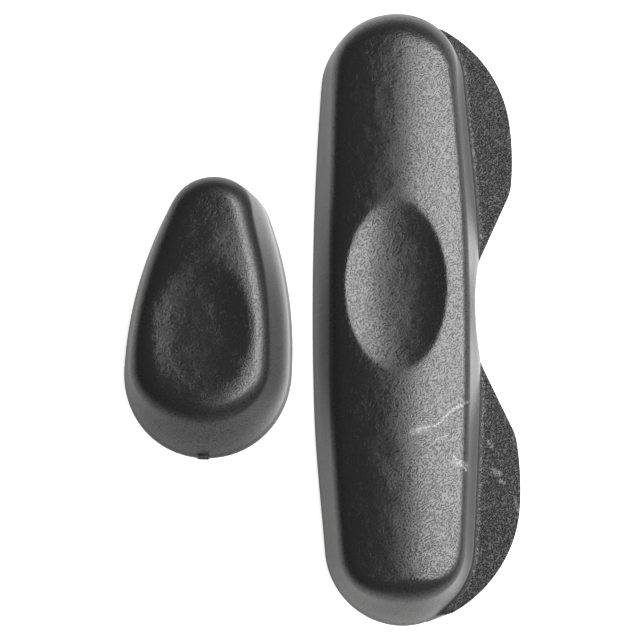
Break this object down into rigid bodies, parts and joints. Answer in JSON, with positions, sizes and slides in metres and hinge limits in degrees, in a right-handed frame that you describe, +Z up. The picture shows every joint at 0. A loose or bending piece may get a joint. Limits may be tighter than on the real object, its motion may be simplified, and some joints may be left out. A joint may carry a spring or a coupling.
{
  "type": "chair armrest pad set",
  "caption": "Pair of moulded chair armrest pads: a long domed forearm pad with a lobed side flange and an elbow hollow, and a short egg-shaped pad.",
  "frame": {"origin": "centre of the long pad's underside, on the plane that both pads stand on", "axes": "+X from the small pad towards the long pad's flange, +Y along the long pad, +Z up out of the domed tops"},
  "size_m": [0.1651, 0.259, 0.0295],
  "materials": {
    "skin": "black self-skinned polyurethane with a moulded leather grain",
    "foam": "dark grey flexible polyurethane foam",
    "carrier": "black glass-filled polypropylene",
    "steel": "zinc plated strip",
    "nut": "zinc plated weld nut",
    "rivet": "plain rivet"
  },
  "bodies": {
    "long_pad": {"long_pad_skin": "skin", "long_pad_foam": "foam", "long_pad_carrier": "carrier", "long_pad_front_nut_strip": "steel", "long_pad_rear_nut_strip": "steel", "long_pad_weld_nuts": "nut", "long_pad_rivets": "rivet"},
    "small_pad": {"small_pad_skin": "skin", "small_pad_foam": "foam", "small_pad_carrier": "carrier", "small_pad_nut_strip": "steel", "small_pad_weld_nuts": "nut", "small_pad_rivets": "rivet"}
  },
  "joints": [
    {"name": "small_pad_lift", "type": "slide", "parent": "long_pad", "child": "small_pad", "axis": [0, 0, 1], "range_m": [0, 0.06]}
  ]
}
